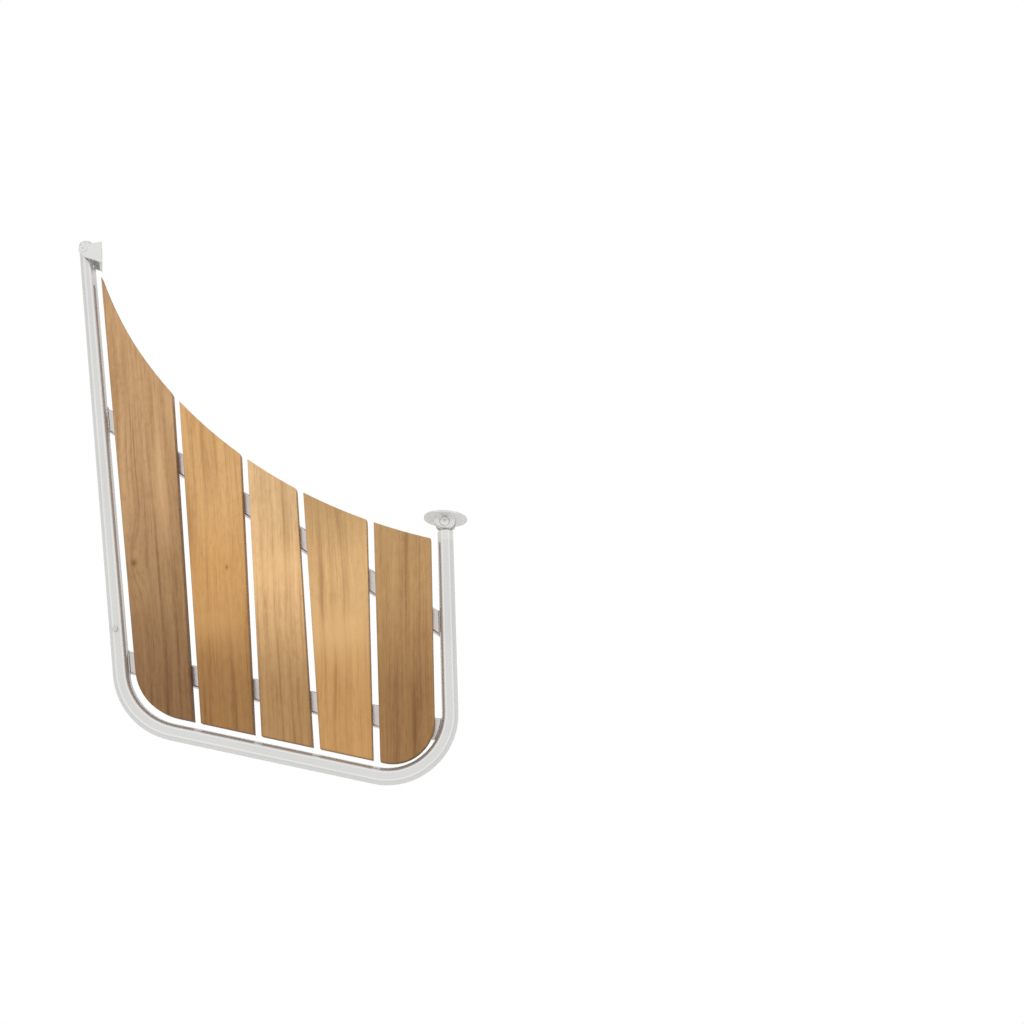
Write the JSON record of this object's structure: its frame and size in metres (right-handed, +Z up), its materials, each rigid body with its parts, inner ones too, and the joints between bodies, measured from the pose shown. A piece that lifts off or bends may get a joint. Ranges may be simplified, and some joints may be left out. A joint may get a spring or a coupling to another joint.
{
  "type": "grab rail boarding panel",
  "caption": "Left-hand slatted teak boarding panel for a curved stern, on a bent stainless tube that doubles as a grab rail, with a pivoting round base and fork bracket.",
  "frame": {"origin": "centre of the round base's mounting face, on the axis of its tapped hole", "axes": "+Y out of the base's mounting face towards the hull, +Z up through the slat tops, +X from the outer leg towards the inner leg"},
  "size_m": [0.7315, 0.9328, 0.07],
  "materials": {
    "polished_stainless": "polished",
    "stainless_fasteners": "satin",
    "teak": "satin oiled",
    "acetal": "matt"
  },
  "bodies": {
    "foot": {"base_foot": "polished_stainless", "base_bolt": "stainless_fasteners", "base_nut": "stainless_fasteners", "base_washer": "stainless_fasteners"},
    "deck": {"frame_tube": "polished_stainless", "tube_end_cap": "polished_stainless", "slat_1": "teak", "slat_2": "teak", "slat_3": "teak", "slat_4": "teak", "slat_5": "teak", "upper_crossbar": "polished_stainless", "lower_crossbar": "polished_stainless", "upper_slat_screws": "stainless_fasteners", "lower_slat_screws": "stainless_fasteners", "upper_slat_washers": "stainless_fasteners", "lower_slat_washers": "stainless_fasteners", "base_plug": "polished_stainless", "tongue_bush": "acetal", "bracket_sleeve": "polished_stainless", "strut_rivet_nut": "stainless_fasteners", "strut_plug_screw": "stainless_fasteners"},
    "bracket": {"hull_bracket": "polished_stainless", "bracket_bolt": "stainless_fasteners", "bracket_nut": "stainless_fasteners", "bracket_washer": "stainless_fasteners"}
  },
  "joints": [
    {"name": "base_pivot", "type": "hinge", "parent": "foot", "child": "deck", "pos_m": [0, -0.0115, 0], "axis": [0, 0, 1], "range_deg": [-10, 10]},
    {"name": "bracket_pivot", "type": "hinge", "parent": "deck", "child": "bracket", "pos_m": [-0.6751, 0.483, 0], "axis": [0, 0, 1], "range_deg": [-10, 25]}
  ]
}
